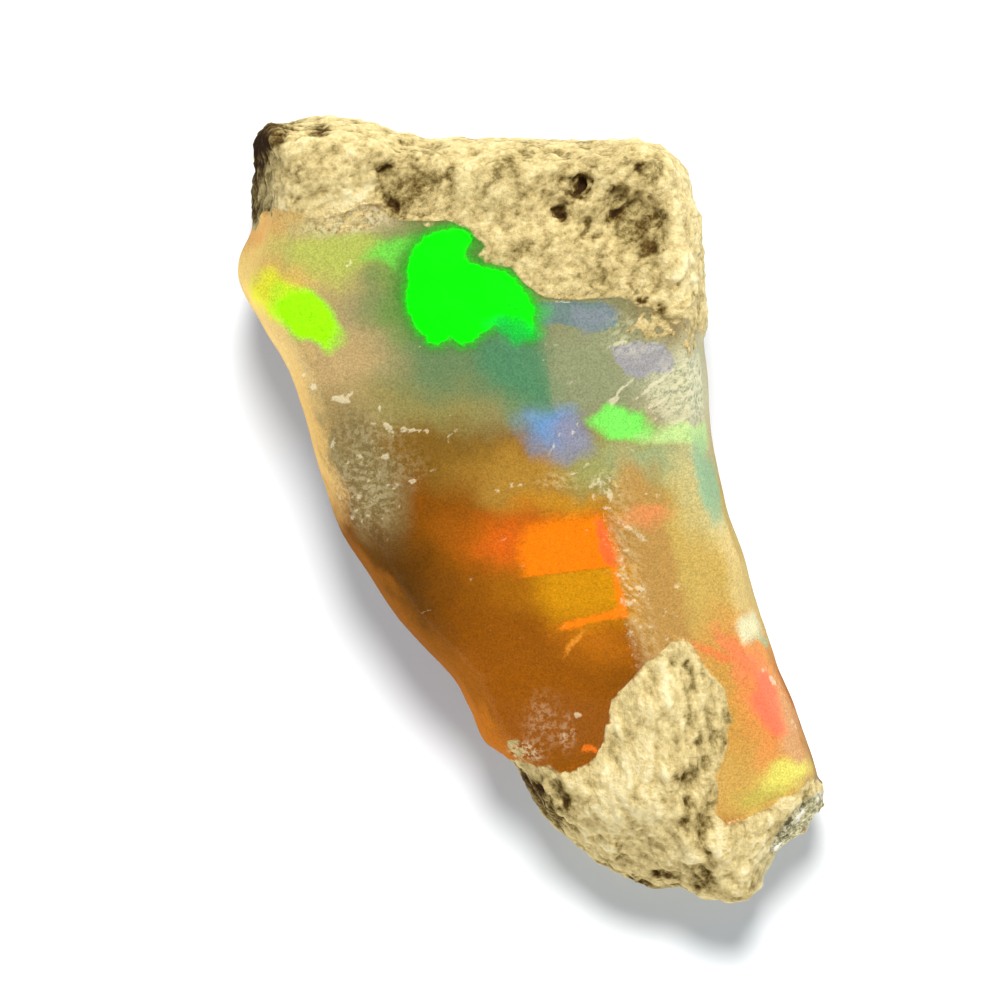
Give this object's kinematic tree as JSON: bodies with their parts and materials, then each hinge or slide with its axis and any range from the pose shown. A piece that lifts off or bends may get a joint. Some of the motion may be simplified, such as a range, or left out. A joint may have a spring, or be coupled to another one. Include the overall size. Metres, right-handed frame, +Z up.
{
  "type": "rough opal",
  "caption": "Rough opal lying on its back: amber to milky see-through faces with a play of colour, and gritty host rock over both ends.",
  "frame": {"origin": "middle of the stone's box, on the flat it rests on", "axes": "+Y along the stone towards the end with the wide band of host rock, +Z up out of its broken face"},
  "size_m": [0.0222, 0.0302, 0.011],
  "materials": {
    "opal_and_host_rock": "broken glassy opal with matte gritty host rock at both ends"
  },
  "bodies": {
    "root": {"rough_opal": "opal_and_host_rock"}
  },
  "joints": []
}
